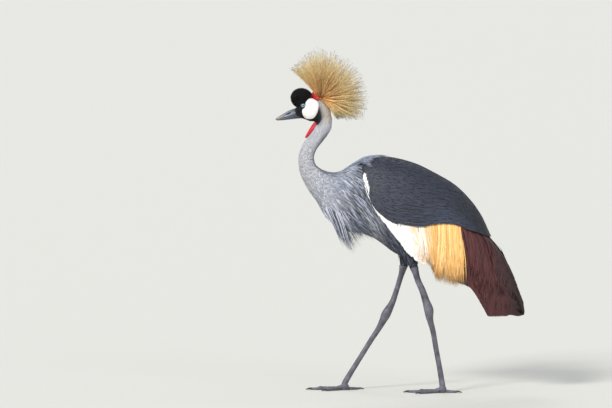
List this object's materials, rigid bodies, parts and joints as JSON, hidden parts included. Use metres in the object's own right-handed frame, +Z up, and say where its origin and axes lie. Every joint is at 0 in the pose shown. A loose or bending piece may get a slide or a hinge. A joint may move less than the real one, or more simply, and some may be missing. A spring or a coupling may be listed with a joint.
{
  "type": "grey crowned crane, life-size museum model",
  "caption": "Grey crowned crane walking, with a spread golden crest, white cheeks, slate back, gold plumes and dark chestnut wing feathers.",
  "frame": {"origin": "on the floor under the middle of the whole bird's outer box", "axes": "+Z up; -X is the way the bird walks, and +Y its right side"},
  "size_m": [0.6733, 0.2098, 0.9369],
  "materials": {
    "slate_plumage": "dark slate feathers of the folded wings",
    "grey_plumage": "pale blue-grey plumage of neck, breast and mantle",
    "white_plumage": "white wing coverts",
    "gold_plumage": "straw-gold wing plumes",
    "chestnut_plumage": "dark chestnut inner flight feathers",
    "black_plumage": "velvety black feathers of crown, primaries and tail",
    "crest": "stiff straw-gold bristles with dark tips",
    "cheek_skin": "bare white cheek skin",
    "red_skin": "bare red skin of the cheek's upper edge and throat wattle",
    "bill": "slate horn",
    "legs": "scaled grey leg skin",
    "claws": "dark horn",
    "eyes": "glossy eye with a pale blue-grey iris"
  },
  "bodies": {
    "root": {"bill_lower": "bill", "bill_upper": "bill", "breast_plumes": "grey_plumage", "cheek_left": "cheek_skin", "cheek_right": "cheek_skin", "claw_left_1": "claws", "claw_left_2": "claws", "claw_left_3": "claws", "claw_left_4": "claws", "claw_right_1": "claws", "claw_right_2": "claws", "claw_right_3": "claws", "claw_right_4": "claws", "crest": "crest", "eye_left": "eyes", "eye_right": "eyes", "foot_left": "legs", "foot_right": "legs", "forehead_cap": "black_plumage", "gold_plumes_left": "gold_plumage", "gold_plumes_right": "gold_plumage", "head": "black_plumage", "mantle": "grey_plumage", "neck": "grey_plumage", "primaries_left": "black_plumage", "primaries_right": "black_plumage", "red_patch_left": "red_skin", "red_patch_right": "red_skin", "secondaries_left": "chestnut_plumage", "secondaries_right": "chestnut_plumage", "shield_left": "slate_plumage", "shield_right": "slate_plumage", "tail": "black_plumage", "tarsus_left": "legs", "tarsus_right": "legs", "thigh_left": "grey_plumage", "thigh_right": "grey_plumage", "throat_wattle": "red_skin", "tibia_left": "legs", "tibia_right": "legs", "torso": "grey_plumage", "white_coverts_left": "white_plumage", "white_coverts_right": "white_plumage"}
  },
  "joints": []
}
